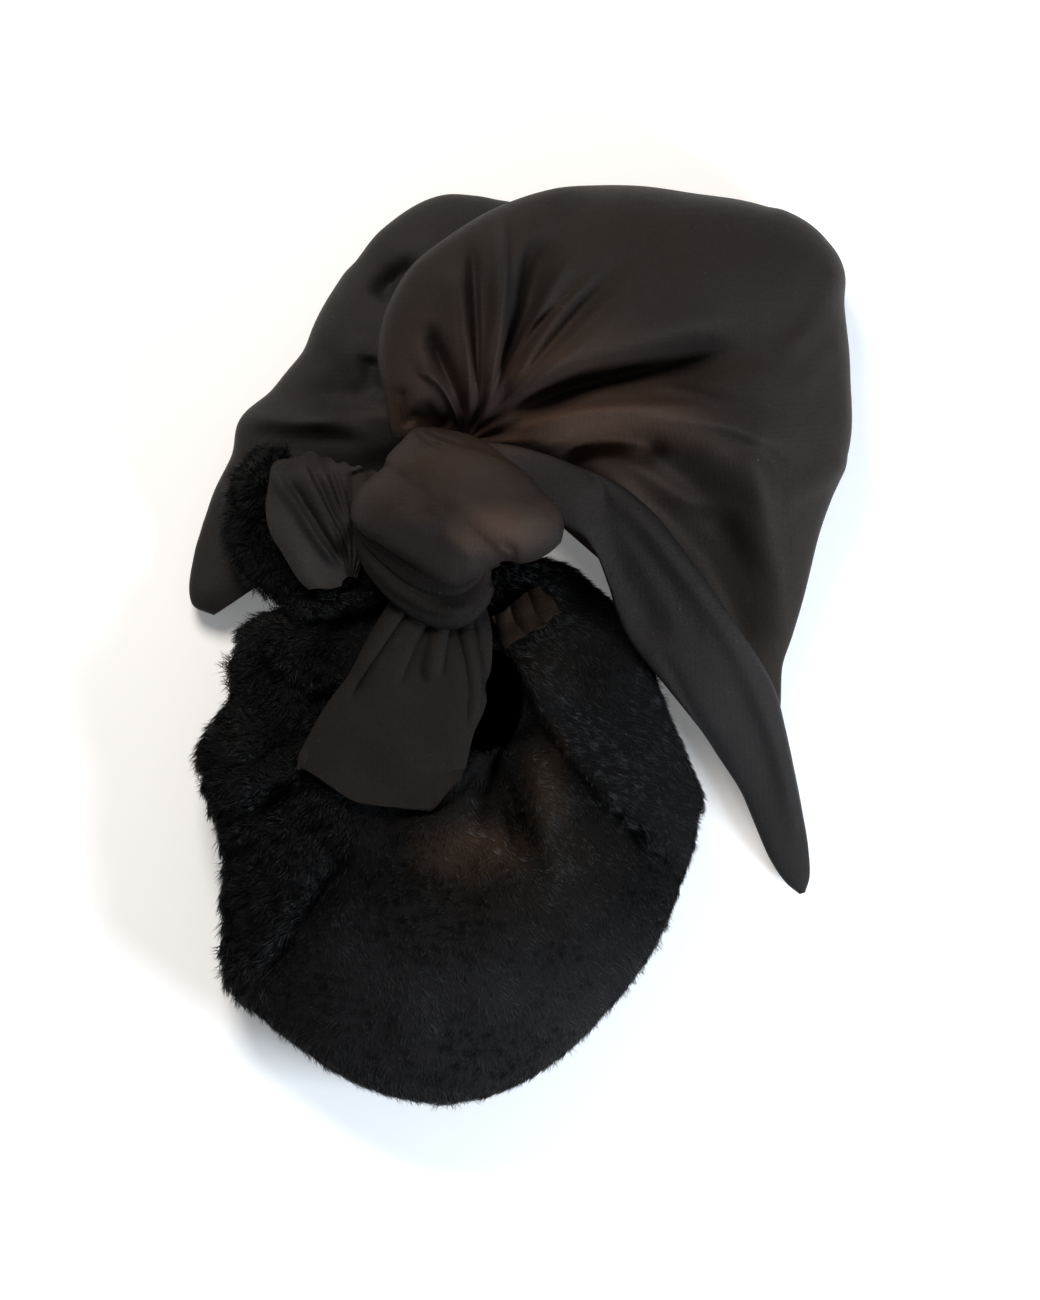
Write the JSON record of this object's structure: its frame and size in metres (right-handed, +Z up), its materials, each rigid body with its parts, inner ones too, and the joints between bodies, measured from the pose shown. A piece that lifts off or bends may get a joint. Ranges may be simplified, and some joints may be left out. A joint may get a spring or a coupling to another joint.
{
  "type": "turban headwrap with fur hood",
  "caption": "Dark satin turban headwrap gathered into a large tied knot with two free ends, joined to a black fur hood, lying flat.",
  "frame": {"origin": "middle of the underside, on the surface that the headwrap lies on", "axes": "+Z up from the surface, +Y from the fur hood towards the satin crown, +X to the side where the long free end lies"},
  "size_m": [0.3056, 0.4224, 0.113],
  "materials": {
    "satin": "dark brown-black cotton satin with a soft sheen",
    "fur": "black fur, sheared on the body and longer in locks along the left side"
  },
  "bodies": {
    "root": {"crown_front": "satin", "crown_back": "satin", "knot_wrap": "satin", "knot_under": "satin", "tail_long": "satin", "tail_short": "satin", "side_tab": "satin", "inner_tab": "satin", "fur_hood": "fur", "fur_roll": "fur"}
  },
  "joints": []
}
